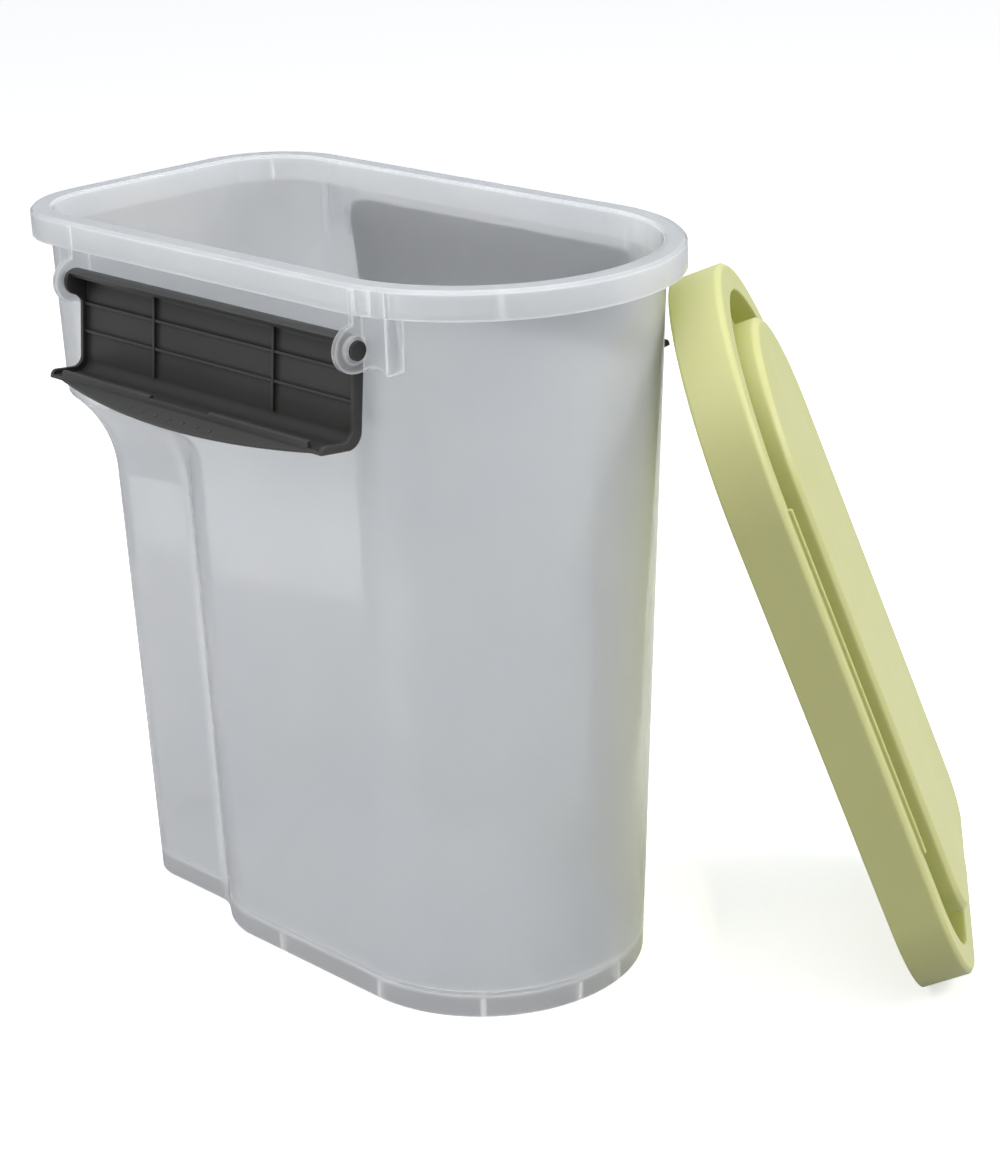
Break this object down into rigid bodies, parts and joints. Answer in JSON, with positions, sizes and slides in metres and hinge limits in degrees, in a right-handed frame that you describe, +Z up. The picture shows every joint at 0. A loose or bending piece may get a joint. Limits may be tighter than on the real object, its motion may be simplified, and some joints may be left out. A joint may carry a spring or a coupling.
{
  "type": "pet food storage box",
  "caption": "Tall clear tub with a narrow grip neck, lift-off lid leaning beside it, and a swinging closing clip on each long side.",
  "frame": {"origin": "middle of the whole set's footprint (tub, hanging clips and leaning lid), on the floor", "axes": "+Z up; +X along the tub from its narrow grip end to its half-round end; -Y is the side of the front clip"},
  "size_m": [0.5318, 0.406, 0.417],
  "materials": {
    "clear_plastic": "milky translucent moulded polypropylene, satin to gloss",
    "lime_plastic": "opaque pale lime moulded polypropylene, satin",
    "dark_plastic": "anthracite moulded plastic, fine satin grain"
  },
  "bodies": {
    "tub": {"tub": "clear_plastic"},
    "lid": {"lid": "lime_plastic"},
    "front_clip": {"front_clip": "dark_plastic"},
    "rear_clip": {"rear_clip": "dark_plastic"}
  },
  "joints": [
    {"name": "front_clip_hinge", "type": "hinge", "parent": "tub", "child": "front_clip", "pos_m": [-0.07438, -0.16946, 0.3845], "axis": [-1, 0, 0], "range_deg": [-6, 174]},
    {"name": "rear_clip_hinge", "type": "hinge", "parent": "tub", "child": "rear_clip", "pos_m": [-0.07438, 0.04514, 0.3845], "axis": [1, 0, 0], "range_deg": [-6, 174]},
    {"name": "lid_lift", "type": "slide", "parent": "tub", "child": "lid", "axis": [0.5549, 0.4382, 0.7071], "range_m": [0, 0.45]}
  ]
}
